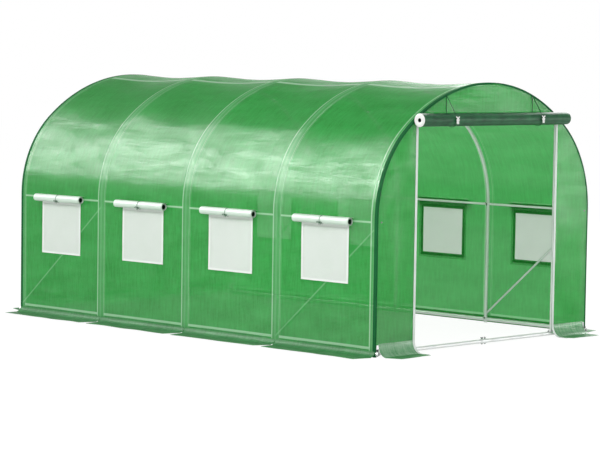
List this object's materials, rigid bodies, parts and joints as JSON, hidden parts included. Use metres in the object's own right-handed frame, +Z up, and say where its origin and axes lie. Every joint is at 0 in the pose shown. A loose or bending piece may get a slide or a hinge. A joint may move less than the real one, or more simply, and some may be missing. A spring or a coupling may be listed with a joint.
{
  "type": "polytunnel greenhouse",
  "caption": "Walk-in polytunnel greenhouse: steel hoops under a green fabric cover, with screened side windows, ground flaps and an open end with its door rolled up.",
  "frame": {"origin": "on the ground at the middle of the tunnel", "axes": "+Z up, +Y towards the closed rear end, the door end at -Y, +X to the right of someone facing the rear"},
  "size_m": [2.9006, 4.4306, 2.0033],
  "materials": {
    "coated_steel": "light grey powder coat on galvanised tube",
    "green_film": "translucent woven polyethylene with a white reinforcing grid",
    "white_mesh": "fine white insect mesh with a sewn edge tape",
    "white_flap": "rolled pale film, slightly glossy",
    "dark_green_cord": "twisted dark green cord",
    "dark_green_film": "several turns of woven polyethylene, dark where it is many layers thick",
    "white_plastic": "moulded clip"
  },
  "bodies": {
    "root": {"front_arch": "coated_steel", "arch_2": "coated_steel", "arch_3": "coated_steel", "arch_4": "coated_steel", "rear_arch": "coated_steel", "left_legs": "coated_steel", "right_legs": "coated_steel", "corner_sockets": "coated_steel", "left_base_rails": "coated_steel", "right_base_rails": "coated_steel", "front_base_rail": "coated_steel", "rear_base_rail": "coated_steel", "base_couplers": "coated_steel", "left_side_rails": "coated_steel", "right_side_rails": "coated_steel", "ridge_rails": "coated_steel", "ridge_couplers": "coated_steel", "left_braces": "coated_steel", "right_braces": "coated_steel", "door_posts": "coated_steel", "roof_cover": "green_film", "left_wall_cover": "green_film", "right_wall_cover": "green_film", "front_left_panel": "green_film", "front_right_panel": "green_film", "front_lunette": "green_film", "rear_panel": "green_film", "left_skirts": "green_film", "right_skirts": "green_film", "front_skirts": "green_film", "rear_skirt": "green_film", "left_window_screens": "white_mesh", "right_window_screens": "white_mesh", "left_window_rolls": "white_flap", "right_window_rolls": "white_flap", "left_window_ties": "dark_green_cord", "right_window_ties": "dark_green_cord", "door_roll_ties": "dark_green_cord", "door_roll": "dark_green_film", "door_roll_clips": "white_plastic"}
  },
  "joints": []
}
